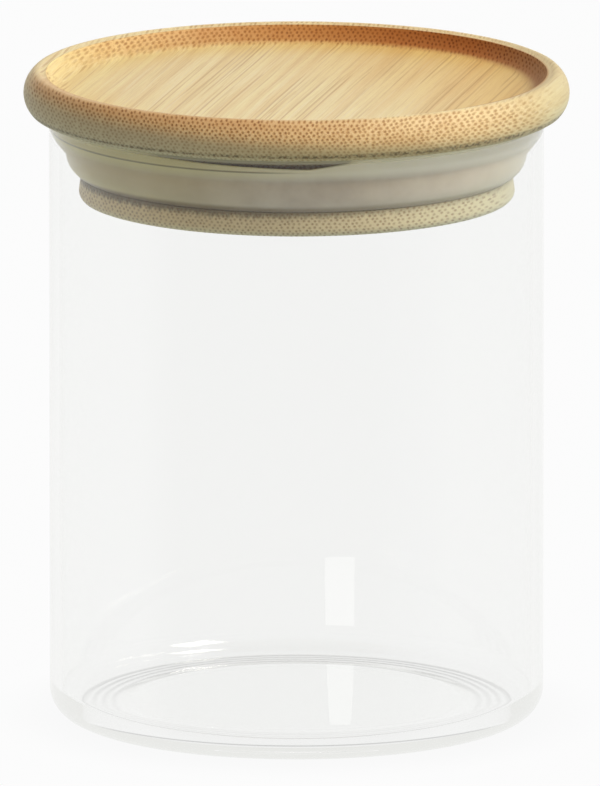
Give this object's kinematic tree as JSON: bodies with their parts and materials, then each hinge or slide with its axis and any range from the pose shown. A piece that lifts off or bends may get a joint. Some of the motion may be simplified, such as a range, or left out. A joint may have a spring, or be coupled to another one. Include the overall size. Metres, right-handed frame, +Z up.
{
  "type": "food canister",
  "caption": "Straight-walled clear glass storage jar with a turned bamboo lid, dished on top, and a silicone sealing ring round its plug.",
  "frame": {"origin": "centre of the plane the jar stands on", "axes": "+Z up along the jar's axis of revolution; +X and +Y are in the plane it stands on"},
  "size_m": [0.1102, 0.1102, 0.1325],
  "materials": {
    "clear_glass": "clear, fire-polished",
    "bamboo": "turned and sanded, oiled",
    "silicone": "translucent, satin"
  },
  "bodies": {
    "jar": {"glass_jar": "clear_glass"},
    "seal": {"silicone_seal": "silicone"},
    "lid": {"bamboo_lid": "bamboo"}
  },
  "joints": [
    {"name": "lid_lift", "type": "slide", "parent": "jar", "child": "seal", "axis": [0, 0, 1], "range_m": [0, 0.025]},
    {"name": "lid_turn", "type": "hinge", "parent": "seal", "child": "lid", "pos_m": [0, 0, 0.1169], "axis": [0, 0, 1], "continuous": true}
  ]
}
